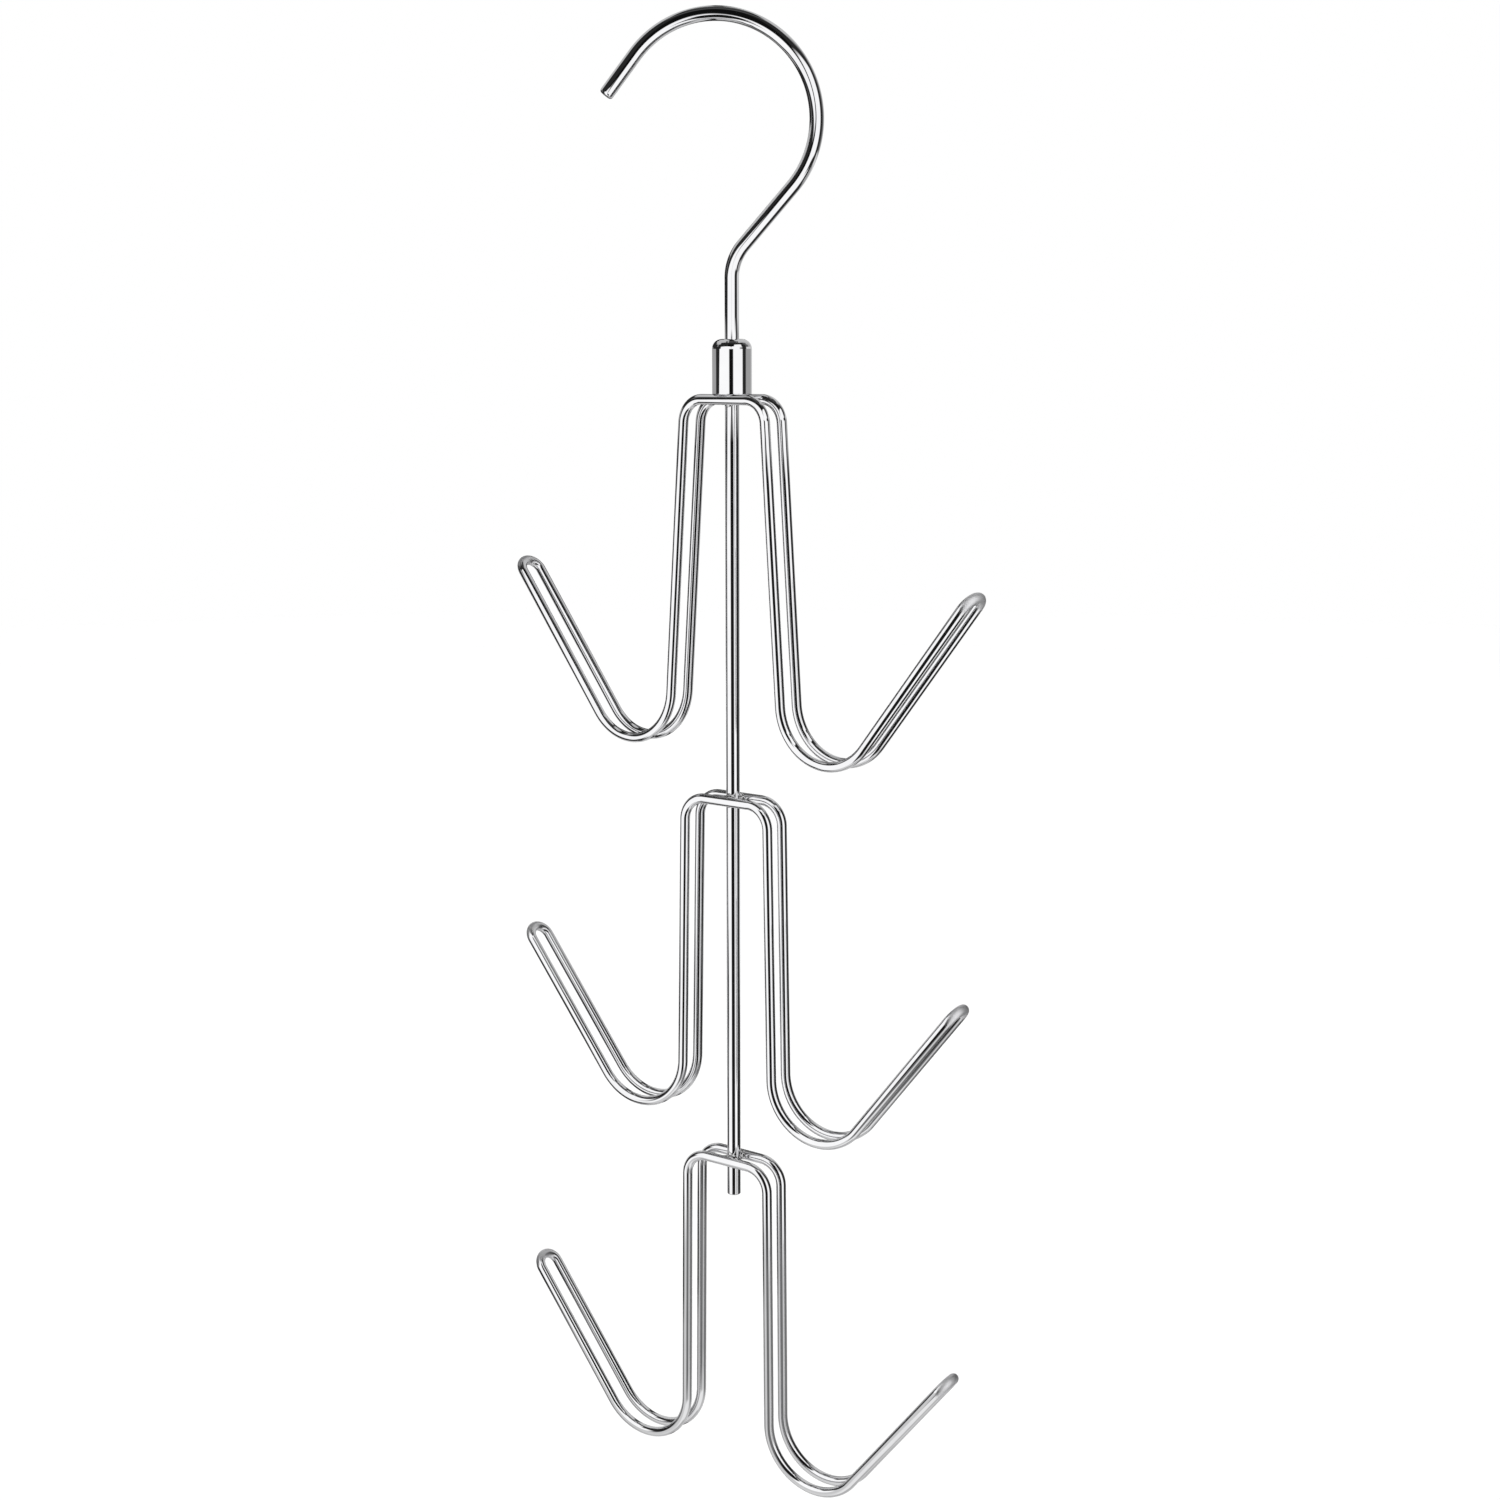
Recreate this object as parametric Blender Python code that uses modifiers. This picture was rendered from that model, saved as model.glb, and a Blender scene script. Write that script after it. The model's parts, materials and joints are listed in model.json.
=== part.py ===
"""Rotating purse hanger of chromed steel wire, built from its separate pieces.

A hook of round wire hangs over a closet rail. Its stem drops through the dome of
a small ferrule and ends in an upset head, which rides on a washer, so everything
below the hook turns freely round the stem. A plug closes the ferrule from below
and carries a straight rod. Three closed wire loops are welded to that rod, one
above the other. Each loop passes the rod with a front and a back strand, drops a
leg on either side, and turns up again into an open double hook for bag handles.

Frame: metres, +Z up. The origin lies where the swivel axis meets the inner face
of the hook, so it is the point that rests on the rail. +X runs along the
crossbars of the two lower loops.
"""
import math

import bmesh
import bpy
from mathutils import Matrix, Vector

# Wire and rod
ROD_DIAMETER = 0.0040
HOOK_WIRE_DIAMETER = 0.0040
LOOP_WIRE_DIAMETER = 0.0029
SEAT_GAP = 0.0003

# Hook, bent in one plane from the stem upwards
STEM_EXPOSED_LENGTH = 0.01665
STEM_BEND_RADIUS = 0.0133
STEM_BEND_ANGLE = math.radians(40.8)
SLANT_LENGTH = 0.0205
RAIL_BEND_RADIUS = 0.0276
RAIL_BEND_ANGLE = math.radians(183.2)
HOOK_TIP_LENGTH = 0.0135
HOOK_TIP_EDGE_RADIUS = 0.0009
HOOK_TURN = math.radians(35.0)

# Upset head on the stem, and the washer that it rides on
HEAD_DIAMETER = 0.0074
HEAD_THICKNESS = 0.0015
HEAD_SHOULDER = 0.0002
WASHER_DIAMETER = 0.0080
WASHER_THICKNESS = 0.0008

# Ferrule and the plug in its mouth
FERRULE_DIAMETER = 0.0111
FERRULE_HEIGHT = 0.0148
FERRULE_WALL = 0.0010
FERRULE_DOME_THICKNESS = 0.0020
FERRULE_SHOULDER_RADIUS = 0.0027
PLUG_HEIGHT = 0.0040
RIM_CHAMFER = 0.0002

# Rod
ROD_ABOVE_PLUG = 0.0010
ROD_BELOW_LOWEST_BAR = 0.0113
ROD_END_CHAMFER = 0.0003

# One strand of a loop, in the loop's own plane, measured to sharp corners
BAR_HALF_LENGTH = 0.0144
BAR_CORNER_RADIUS = 0.0069
LEG_DROP = 0.1272
HOOK_BEND_RADIUS = 0.0162
ARM_LENGTH = 0.0937
ARM_LEAN = math.radians(37.5)

# The three tiers, from the top down
TIER_NAMES = ("top", "middle", "lower")
TIER_DROPS = (0.0, 0.1143, 0.1095)
TIER_LEG_SPLAYS = (math.radians(4.0), math.radians(1.1), math.radians(0.6))
TIER_TURNS = (math.radians(-4.8), 0.0, 0.0)

# Weld nuggets between the rod and a strand
WELD_WIDTH = 0.0052
WELD_DEPTH = 0.0030
WELD_HEIGHT = 0.0044

# Fineness of the solids
BEND_STEP = math.radians(11.0)
EDGE_STEPS = 3
WIRE_BEVEL_RESOLUTION = 3
TURNED_STEPS = 32
ROD_SIDES = 24
WELD_SEGMENTS = 14
WELD_RINGS = 10
MERGE_DISTANCE = 0.00001
CUT_OVERRUN = 0.0020
CHAMFER_SEGMENTS = 2
SHARP_EDGE = math.radians(35.0)

# Finishes: a shade of grey, and a roughness
BRIGHT_WIRE = (0.80, 0.08)
BRIGHT_CUP = (0.80, 0.07)
PLAIN_WASHER = (0.55, 0.30)
PLAIN_PLUG = (0.60, 0.25)
PLATED_WELD = (0.72, 0.18)

# Sizes that follow from the ones above
ROD_RADIUS = ROD_DIAMETER / 2
HOOK_WIRE_RADIUS = HOOK_WIRE_DIAMETER / 2
LOOP_WIRE_RADIUS = LOOP_WIRE_DIAMETER / 2
STRAND_OFFSET = ROD_RADIUS + SEAT_GAP + LOOP_WIRE_RADIUS
FERRULE_FOOT = LOOP_WIRE_RADIUS + SEAT_GAP
FERRULE_TOP = FERRULE_FOOT + FERRULE_HEIGHT
DOME_UNDERSIDE = FERRULE_TOP - FERRULE_DOME_THICKNESS
WASHER_TOP = DOME_UNDERSIDE - SEAT_GAP
WASHER_FOOT = WASHER_TOP - WASHER_THICKNESS
HEAD_TOP = WASHER_FOOT - SEAT_GAP - HEAD_SHOULDER
HEAD_FOOT = HEAD_TOP - HEAD_THICKNESS
TIER_HEIGHTS = tuple(-sum(TIER_DROPS[:tier + 1]) for tier in range(len(TIER_DROPS)))


def arc(centre, radius, first, last):
    """Return points of an arc from one angle to another, without its first point."""
    steps = max(1, math.ceil(abs(last - first) / BEND_STEP))
    points = []
    for step in range(1, steps + 1):
        angle = first + (last - first) * step / steps
        points.append(centre + radius * Vector((math.cos(angle), math.sin(angle))))
    return points


def rounded_chain(corners, radii):
    """Return a chain of straight runs in a plane, its inner corners rounded by arcs."""
    points = [corners[0]]
    for before, corner, after, radius in zip(corners, corners[1:], corners[2:], radii):
        back = (before - corner).normalized()
        onward = (after - corner).normalized()
        half = back.angle(onward) / 2
        centre = corner + (back + onward).normalized() * radius / math.sin(half)
        start = corner + back * radius / math.tan(half) - centre
        end = corner + onward * radius / math.tan(half) - centre
        first = math.atan2(start.y, start.x)
        turn = math.remainder(math.atan2(end.y, end.x) - first, math.tau)
        points.append(centre + start)
        points.extend(arc(centre, radius, first, first + turn))
    points.append(corners[-1])
    return points


def hook_bends():
    """Return the centres of the hook's two bends: (sideways, height above the top bar)."""
    stem_bend = Vector((STEM_BEND_RADIUS, FERRULE_TOP + STEM_EXPOSED_LENGTH))
    outward = Vector((-math.cos(STEM_BEND_ANGLE), math.sin(STEM_BEND_ANGLE)))
    along_slant = Vector((math.sin(STEM_BEND_ANGLE), math.cos(STEM_BEND_ANGLE)))
    slant_start = stem_bend + STEM_BEND_RADIUS * outward
    rail_bend = slant_start + SLANT_LENGTH * along_slant + RAIL_BEND_RADIUS * outward
    return stem_bend, rail_bend


def rail_seat_height():
    """Return how high above the top bar the swivel axis meets the hook's inner face."""
    rail_bend = hook_bends()[1]
    inner_radius = RAIL_BEND_RADIUS - HOOK_WIRE_RADIUS
    return rail_bend.y + math.sqrt(inner_radius ** 2 - rail_bend.x ** 2)


def level(height):
    """Turn a height above the top bar into a world height."""
    return height - rail_seat_height()


def hook_route():
    """Return the hook's route as (sideways, height, wire radius), from its head up."""
    stem_bend, rail_bend = hook_bends()
    head_radius = HEAD_DIAMETER / 2
    route = [
        (0.0, HEAD_FOOT, head_radius),
        (0.0, HEAD_TOP, head_radius),
        (0.0, HEAD_TOP + HEAD_SHOULDER, HOOK_WIRE_RADIUS),
        (0.0, stem_bend.y, HOOK_WIRE_RADIUS),
    ]
    bends = arc(stem_bend, STEM_BEND_RADIUS, math.pi, math.pi - STEM_BEND_ANGLE)
    first = -STEM_BEND_ANGLE
    last = first + RAIL_BEND_ANGLE
    bends.append(rail_bend + RAIL_BEND_RADIUS * Vector((math.cos(first), math.sin(first))))
    bends.extend(arc(rail_bend, RAIL_BEND_RADIUS, first, last))
    route.extend((point.x, point.y, HOOK_WIRE_RADIUS) for point in bends)
    along_tip = Vector((-math.sin(last), math.cos(last)))
    edge_start = bends[-1] + (HOOK_TIP_LENGTH - HOOK_TIP_EDGE_RADIUS) * along_tip
    for step in range(EDGE_STEPS + 1):
        angle = math.pi / 2 * step / EDGE_STEPS
        point = edge_start + HOOK_TIP_EDGE_RADIUS * math.sin(angle) * along_tip
        worn = HOOK_TIP_EDGE_RADIUS * (1 - math.cos(angle))
        route.append((point.x, point.y, HOOK_WIRE_RADIUS - worn))
    return route


def strand_outline(splay):
    """Return one strand of a loop from its left tip to its right tip: (x, height)."""
    bend_x = BAR_HALF_LENGTH + LEG_DROP * math.tan(splay)
    tip_x = bend_x + ARM_LENGTH * math.sin(ARM_LEAN)
    tip_z = -LEG_DROP + ARM_LENGTH * math.cos(ARM_LEAN)
    right = [Vector((BAR_HALF_LENGTH, 0.0)), Vector((bend_x, -LEG_DROP)), Vector((tip_x, tip_z))]
    left = [Vector((-corner.x, corner.y)) for corner in reversed(right)]
    radii = (HOOK_BEND_RADIUS, BAR_CORNER_RADIUS, BAR_CORNER_RADIUS, HOOK_BEND_RADIUS)
    return rounded_chain(left + right, radii)


def tip_bend(tip, side):
    """Return the half circle round which the wire turns from strand to strand at a tip."""
    outward = Vector((side * math.sin(ARM_LEAN), 0.0, math.cos(ARM_LEAN)))
    centre = Vector((tip.x, 0.0, tip.y))
    across = Vector((0.0, -side * STRAND_OFFSET, 0.0))
    steps = math.ceil(math.pi / BEND_STEP)
    points = []
    for step in range(1, steps):
        angle = math.pi * step / steps
        points.append(centre + math.cos(angle) * across + math.sin(angle) * STRAND_OFFSET * outward)
    return points


def loop_route(splay):
    """Return the closed route of a loop: front strand, right tip, back strand, left tip."""
    outline = strand_outline(splay)
    front = [Vector((point.x, -STRAND_OFFSET, point.y)) for point in outline]
    back = [Vector((point.x, STRAND_OFFSET, point.y)) for point in reversed(outline)]
    return front + tip_bend(outline[-1], 1) + back + tip_bend(outline[0], -1)


def metal(name, finish):
    """Return a metal of a finish: (shade, roughness)."""
    shade, roughness = finish
    material = bpy.data.materials.new(name)
    material.use_nodes = True
    shader = material.node_tree.nodes["Principled BSDF"]
    shader.inputs["Base Color"].default_value = (shade, shade, shade, 1.0)
    shader.inputs["Metallic"].default_value = 1.0
    shader.inputs["Roughness"].default_value = roughness
    return material


def add_piece(name, data, material):
    """Put a piece of the hanger into the scene."""
    piece = bpy.data.objects.new(name, data)
    piece.data.materials.append(material)
    parts.objects.link(piece)
    return piece


def move_to(collection, piece):
    """Take an object that a primitive left anywhere into one collection."""
    for owner in piece.users_collection:
        owner.objects.unlink(piece)
    collection.objects.link(piece)


def finished_mesh(piece):
    """Return a piece's mesh with its modifiers applied, smooth between its sharp edges."""
    bpy.context.view_layer.update()
    graph = bpy.context.evaluated_depsgraph_get()
    shape = bpy.data.meshes.new_from_object(piece.evaluated_get(graph))
    shape.shade_smooth()
    shape.set_sharp_from_angle(angle=SHARP_EDGE)
    return shape


def finish_piece(piece):
    """Give a piece its finished mesh in place of its modifiers."""
    shape = finished_mesh(piece)
    piece.modifiers.clear()
    piece.data = shape


def add_wire(name, route, radii, closed, material):
    """Make a round wire along a route; every point has its own radius."""
    curve = bpy.data.curves.new(name, "CURVE")
    curve.dimensions = "3D"
    curve.bevel_depth = max(radii)
    curve.bevel_resolution = WIRE_BEVEL_RESOLUTION
    curve.use_fill_caps = not closed
    spline = curve.splines.new("POLY")
    spline.points.add(len(route) - 1)
    for point, place, radius in zip(spline.points, route, radii):
        point.co = (*place, 1.0)
        point.radius = radius / max(radii)
    spline.use_cyclic_u = closed
    spline.use_smooth = True
    return add_piece(name, curve, material)


def add_turned(name, profile, material):
    """Turn a closed profile of (radius, height) about the swivel axis."""
    mesh = bpy.data.meshes.new(name)
    sketch = bmesh.new()
    corners = [sketch.verts.new((radius, 0.0, level(height))) for radius, height in profile]
    for corner, following in zip(corners, corners[1:] + corners[:1]):
        sketch.edges.new((corner, following))
    sketch.to_mesh(mesh)
    sketch.free()
    piece = add_piece(name, mesh, material)
    screw = piece.modifiers.new("turned", "SCREW")
    screw.steps = TURNED_STEPS
    screw.render_steps = TURNED_STEPS
    screw.use_merge_vertices = True
    screw.merge_threshold = MERGE_DISTANCE
    finish_piece(piece)


def hide_guide(guide):
    """Keep a cutter or a pattern out of the model."""
    guide.display_type = "WIRE"
    guide.hide_render = True
    move_to(cutters, guide)


def add_cutter(name, radius, depth, matrix):
    """Make a hidden round bar that cuts a weld."""
    bpy.ops.mesh.primitive_cylinder_add(vertices=ROD_SIDES, radius=radius, depth=depth)
    cutter = bpy.context.object
    cutter.name = name
    cutter.matrix_world = matrix
    hide_guide(cutter)
    return cutter


def build_hook():
    """Bend the hook, upset its head and turn its plane to where it hangs."""
    route = hook_route()
    places = [(sideways, 0.0, level(height)) for sideways, height, _ in route]
    radii = [radius for _, _, radius in route]
    hook = add_wire("swivel_hook", places, radii, False, metal("hook_chrome", BRIGHT_WIRE))
    hook.rotation_euler.z = HOOK_TURN


def build_washer():
    """Turn the washer between the hook's head and the ferrule's dome."""
    outer = WASHER_DIAMETER / 2
    bore = HOOK_WIRE_RADIUS + SEAT_GAP
    profile = [(bore, WASHER_TOP), (outer, WASHER_TOP), (outer, WASHER_FOOT), (bore, WASHER_FOOT)]
    add_turned("swivel_washer", profile, metal("washer_steel", PLAIN_WASHER))


def build_ferrule():
    """Turn the domed cup with the hole for the stem in its top."""
    outer = FERRULE_DIAMETER / 2
    inner = outer - FERRULE_WALL
    hole = HOOK_WIRE_RADIUS + SEAT_GAP
    centre = Vector((outer - FERRULE_SHOULDER_RADIUS, FERRULE_TOP - FERRULE_SHOULDER_RADIUS))
    profile = [
        Vector((hole, FERRULE_TOP)),
        Vector((centre.x, FERRULE_TOP)),
        *arc(centre, FERRULE_SHOULDER_RADIUS, math.pi / 2, 0.0),
        Vector((outer, FERRULE_FOOT + RIM_CHAMFER)),
        Vector((outer - RIM_CHAMFER, FERRULE_FOOT)),
        Vector((inner, FERRULE_FOOT)),
        Vector((inner, DOME_UNDERSIDE)),
        Vector((hole, DOME_UNDERSIDE)),
    ]
    add_turned("swivel_ferrule", profile, metal("ferrule_chrome", BRIGHT_CUP))


def build_plug():
    """Turn the plug that closes the ferrule and holds the top of the rod."""
    outer = FERRULE_DIAMETER / 2 - FERRULE_WALL - SEAT_GAP
    bore = ROD_RADIUS + SEAT_GAP
    top = FERRULE_FOOT + PLUG_HEIGHT
    profile = [
        (bore, top),
        (outer - RIM_CHAMFER, top),
        (outer, top - RIM_CHAMFER),
        (outer, FERRULE_FOOT),
        (bore, FERRULE_FOOT),
    ]
    add_turned("ferrule_plug", profile, metal("plug_steel", PLAIN_PLUG))


def build_rod():
    """Cut the straight centre rod, from inside the ferrule to below the lowest bar."""
    top = level(FERRULE_FOOT + PLUG_HEIGHT + ROD_ABOVE_PLUG)
    foot = level(TIER_HEIGHTS[-1] - ROD_BELOW_LOWEST_BAR)
    bpy.ops.mesh.primitive_cylinder_add(
        vertices=ROD_SIDES, radius=ROD_RADIUS, depth=top - foot, location=(0.0, 0.0, (top + foot) / 2)
    )
    rod = bpy.context.object
    rod.name = "centre_rod"
    rod.data.materials.append(metal("rod_chrome", BRIGHT_WIRE))
    move_to(parts, rod)
    chamfer = rod.modifiers.new("end_chamfer", "BEVEL")
    chamfer.width = ROD_END_CHAMFER
    chamfer.segments = CHAMFER_SEGMENTS
    chamfer.limit_method = "ANGLE"
    finish_piece(rod)


def build_loop(tier):
    """Bend one closed loop and set it on the rod at its height and turn."""
    route = loop_route(TIER_LEG_SPLAYS[tier])
    radii = [LOOP_WIRE_RADIUS] * len(route)
    name = TIER_NAMES[tier] + "_tier_loop"
    loop = add_wire(name, route, radii, True, metal(name + "_chrome", BRIGHT_WIRE))
    loop.location.z = level(TIER_HEIGHTS[tier])
    loop.rotation_euler.z = TIER_TURNS[tier]


def weld_mesh(name, under_ferrule):
    """Make one weld nugget in a strand's frame: the strand along X, the rod behind it."""
    blob = bmesh.new()
    bmesh.ops.create_uvsphere(blob, u_segments=WELD_SEGMENTS, v_segments=WELD_RINGS, radius=1)
    blob.transform(Matrix.Diagonal((WELD_WIDTH / 2, WELD_DEPTH / 2, WELD_HEIGHT / 2, 1)))
    seam_y = -ROD_RADIUS - SEAT_GAP / 2
    blob.transform(Matrix.Translation((0.0, seam_y, 0.0)))
    mesh = bpy.data.meshes.new(name)
    blob.to_mesh(mesh)
    blob.free()
    pattern = bpy.data.objects.new(name, mesh)
    hide_guide(pattern)
    reach = WELD_WIDTH + WELD_HEIGHT + 2 * CUT_OVERRUN
    rod_cut = add_cutter(name + "_rod_cut", ROD_RADIUS + SEAT_GAP, reach, Matrix())
    along_x = Matrix.Translation((0.0, -STRAND_OFFSET, 0.0)) @ Matrix.Rotation(math.pi / 2, 4, "Y")
    strand_cut = add_cutter(name + "_strand_cut", LOOP_WIRE_RADIUS + SEAT_GAP, reach, along_x)
    tools = [rod_cut, strand_cut]
    if under_ferrule:
        ferrule_cut = Matrix.Translation((0.0, 0.0, FERRULE_FOOT - SEAT_GAP + reach / 2))
        tools.append(add_cutter(name + "_ferrule_cut", FERRULE_DIAMETER, reach, ferrule_cut))
    for tool in tools:
        cut = pattern.modifiers.new(tool.name, "BOOLEAN")
        cut.operation = "DIFFERENCE"
        cut.solver = "EXACT"
        cut.object = tool
    shape = finished_mesh(pattern)
    shape.materials.clear()
    return shape


def build_welds():
    """Set a weld nugget before and behind the rod on every tier."""
    bead = metal("weld_chrome", PLATED_WELD)
    open_weld = weld_mesh("open_weld", False)
    covered_weld = weld_mesh("covered_weld", True)
    open_weld.materials.append(bead)
    covered_weld.materials.append(bead)
    for tier, height in enumerate(TIER_HEIGHTS):
        shape = covered_weld if tier == 0 else open_weld
        for side, turn in (("front", 0.0), ("back", math.pi)):
            weld = bpy.data.objects.new(f"{TIER_NAMES[tier]}_tier_{side}_weld", shape)
            weld.location.z = level(height)
            weld.rotation_euler.z = TIER_TURNS[tier] + turn
            parts.objects.link(weld)


for old in list(bpy.data.objects):
    bpy.data.objects.remove(old, do_unlink=True)
parts = bpy.data.collections.new("rotating_purse_hanger")
cutters = bpy.data.collections.new("cutters")
bpy.context.scene.collection.children.link(parts)
bpy.context.scene.collection.children.link(cutters)

build_hook()
build_washer()
build_ferrule()
build_plug()
build_rod()
for tier_index in range(len(TIER_NAMES)):
    build_loop(tier_index)
build_welds()
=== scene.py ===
"""Rotating purse hanger in bright chromed wire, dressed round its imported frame.

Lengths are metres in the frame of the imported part: +Z up along the rod, the origin
where the rail touches the hook, +X along the crossbars of the two lower loops.
Every wire is a round profile carried along its route, every turned piece a profile
swept round the swivel axis, and every weld a surface found along rays, all worked
out with numpy as whole arrays.
"""
from __future__ import annotations

import json
import logging
import math
from dataclasses import dataclass
from enum import Enum
from typing import Sequence

import bpy
import numpy as np
from mathutils import Matrix, Vector

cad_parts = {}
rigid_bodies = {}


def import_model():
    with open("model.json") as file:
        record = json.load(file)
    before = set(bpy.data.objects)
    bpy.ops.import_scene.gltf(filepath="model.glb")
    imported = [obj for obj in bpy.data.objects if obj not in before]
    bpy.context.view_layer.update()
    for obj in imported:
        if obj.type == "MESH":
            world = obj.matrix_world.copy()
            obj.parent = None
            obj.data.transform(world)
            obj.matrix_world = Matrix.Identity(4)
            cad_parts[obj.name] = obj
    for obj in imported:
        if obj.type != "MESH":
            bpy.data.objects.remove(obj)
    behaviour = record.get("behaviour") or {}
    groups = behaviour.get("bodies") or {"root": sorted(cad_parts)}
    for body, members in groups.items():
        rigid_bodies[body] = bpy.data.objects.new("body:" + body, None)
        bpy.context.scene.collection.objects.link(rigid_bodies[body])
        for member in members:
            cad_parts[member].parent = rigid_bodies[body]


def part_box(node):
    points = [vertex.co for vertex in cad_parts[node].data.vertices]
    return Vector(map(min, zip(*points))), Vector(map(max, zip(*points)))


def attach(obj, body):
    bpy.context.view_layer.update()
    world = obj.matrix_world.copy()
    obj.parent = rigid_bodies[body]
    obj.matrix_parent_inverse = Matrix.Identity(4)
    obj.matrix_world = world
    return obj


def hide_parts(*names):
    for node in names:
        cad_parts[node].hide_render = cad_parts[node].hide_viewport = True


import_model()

LOG = logging.getLogger("purse_hanger")
Array = np.ndarray
Material = bpy.types.Material
Socket = bpy.types.NodeSocket
Signal = Socket | float
Span = tuple[float, float]
Triple = tuple[float, float, float]
GRAIN = "wire_grain"

# Where the photograph was taken from, and what its camera shows
CAMERA_PLACE = (0.33978701, -0.48381951, -0.08945431)
CAMERA_FORWARD = (-0.55814907, 0.80896878, -0.18449698)
CAMERA_UP = (-0.10395859, 0.15242277, 0.9828326)
CAMERA_LENS_MM = 50.06
CAMERA_SENSOR_MM = 36.0
CAMERA_NEAR = 0.01

# Sizes that several pieces share
LOOP_WIRE_RADIUS = 0.00145
STRAND_OFFSET = 0.00375
ROD_RADIUS = 0.0020

# Largest angles between two points of a wire's bend and of a turned corner
BEND_STEP = math.radians(1.5)
CORNER_STEP = math.radians(15.0)

# Angles from which the edges of a piece stay sharp
WIRE_EDGE = math.radians(40.0)
CUP_EDGE = math.radians(35.0)
WELD_EDGE = math.radians(60.0)
NO_EDGE = math.pi


# ---- Shapes ----


@dataclass
class Route:
    """The centre line of a wire, with its direction, a side direction and its radius."""

    points: Array
    along: Array
    across: Array
    radius: Array

    @classmethod
    def joined(cls, runs: Sequence[Route]) -> Route:
        """Return runs that follow each other as one route."""
        parts = zip(*((run.points, run.along, run.across, run.radius) for run in runs))
        return cls(*(np.concatenate(part) for part in parts))

    def lengths(self) -> Array:
        """Return the distance from the start of the route to each of its points."""
        steps = np.linalg.norm(np.diff(self.points, axis=0), axis=1)
        return np.concatenate([[0.0], np.cumsum(steps)])

    def placed(self, turn: float, lift: float) -> Route:
        """Return the route turned about the swivel axis and then lifted."""
        rows = [about_axis(part, turn) for part in (self.points, self.along, self.across)]
        return Route(rows[0] + (0.0, 0.0, lift), rows[1], rows[2], self.radius)


@dataclass
class Skin:
    """A surface on a grid: vertex places, faces, and each vertex's place in the grain."""

    vertices: Array
    faces: list[list[int]]
    grain: Array


def full_turn(count: int) -> Array:
    """Return evenly spaced angles that go once round."""
    return np.linspace(0.0, math.tau, count, endpoint=False)


def about_axis(points: Array, turn: float) -> Array:
    """Turn points about the swivel axis: x and y mix by the cosine and sine of the turn."""
    cosine, sine = math.cos(turn), math.sin(turn)
    return points @ np.array([[cosine, sine, 0.0], [-sine, cosine, 0.0], [0.0, 0.0, 1.0]])


def stood_up(rows: Array, depth: float = 0.0) -> Array:
    """Return rows of (sideways, height) as rows of (sideways, depth, height)."""
    return np.stack([rows[:, 0], np.full(len(rows), depth), rows[:, 1]], axis=-1)


def straight(start: Array, end: Array, spacing: float) -> tuple[Array, Array]:
    """Lay points on a straight run.

    A point is start plus a share of the way to end, and every direction is the same.

    Args:
        start: first point, in a plane.
        end: last point, in the same plane.
        spacing: distance between points, about.

    Returns:
        The points and the directions, one row each.
    """
    reach = float(np.linalg.norm(end - start))
    share = np.linspace(0.0, 1.0, max(2, math.ceil(reach / spacing) + 1))[:, None]
    return start + (end - start) * share, np.repeat([(end - start) / reach], len(share), axis=0)


def bend(
    centre: Array, radius: float, first: float, last: float, step: float = BEND_STEP
) -> tuple[Array, Array]:
    """Lay points on a bend in a plane.

    A point is centre plus radius times (cosine, sine) of the angle, and its direction
    is a quarter turn from that, towards the last angle.

    Args:
        centre: centre of the bend.
        radius: radius of the wire's centre line.
        first: angle at which the bend starts.
        last: angle at which it ends.
        step: largest angle between two points.

    Returns:
        The points and the directions, one row each.
    """
    angle = np.linspace(first, last, max(2, math.ceil(abs(last - first) / step) + 1))
    ray = np.stack([np.cos(angle), np.sin(angle)], axis=-1)
    forward = math.copysign(1.0, last - first) * np.stack([-ray[:, 1], ray[:, 0]], axis=-1)
    return centre + radius * ray, forward


def chained(runs: Sequence[tuple[Array, Array]]) -> tuple[Array, Array]:
    """Join runs that follow each other, without the points that they share.

    Args:
        runs: the points and the directions of each run.

    Returns:
        The points and the directions of the whole.
    """
    points = [runs[0][0]] + [run[0][1:] for run in runs[1:]]
    along = [runs[0][1]] + [run[1][1:] for run in runs[1:]]
    return np.concatenate(points), np.concatenate(along)


def rounded_outline(
    corners: Sequence[Array], radii: Sequence[float], spacing: float, step: float = BEND_STEP
) -> tuple[Array, Array]:
    """Run through corners in a plane, each inner corner rounded by a bend.

    The bend's centre lies on the line that halves the corner, at radius over the sine
    of half the corner's angle, and it touches both sides at radius over the tangent.

    Args:
        corners: the sharp corners, ends included.
        radii: bend radius at each inner corner.
        spacing: distance between points on straight runs.
        step: largest angle between points on bends.

    Returns:
        The points and the directions, one row each.
    """
    runs = []
    reached = corners[0]
    for before, corner, after, radius in zip(corners, corners[1:], corners[2:], radii):
        back = (before - corner) / np.linalg.norm(before - corner)
        onward = (after - corner) / np.linalg.norm(after - corner)
        half = math.acos(float(back @ onward)) / 2
        middle = (back + onward) / np.linalg.norm(back + onward)
        centre = corner + middle * radius / math.sin(half)
        start = corner + back * radius / math.tan(half)
        end = corner + onward * radius / math.tan(half)
        first = math.atan2(*(start - centre)[::-1])
        turn = math.remainder(math.atan2(*(end - centre)[::-1]) - first, math.tau)
        runs.append(straight(reached, start, spacing))
        runs.append(bend(centre, radius, first, first + turn, step))
        reached = end
    runs.append(straight(reached, corners[-1], spacing))
    return chained(runs)


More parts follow.
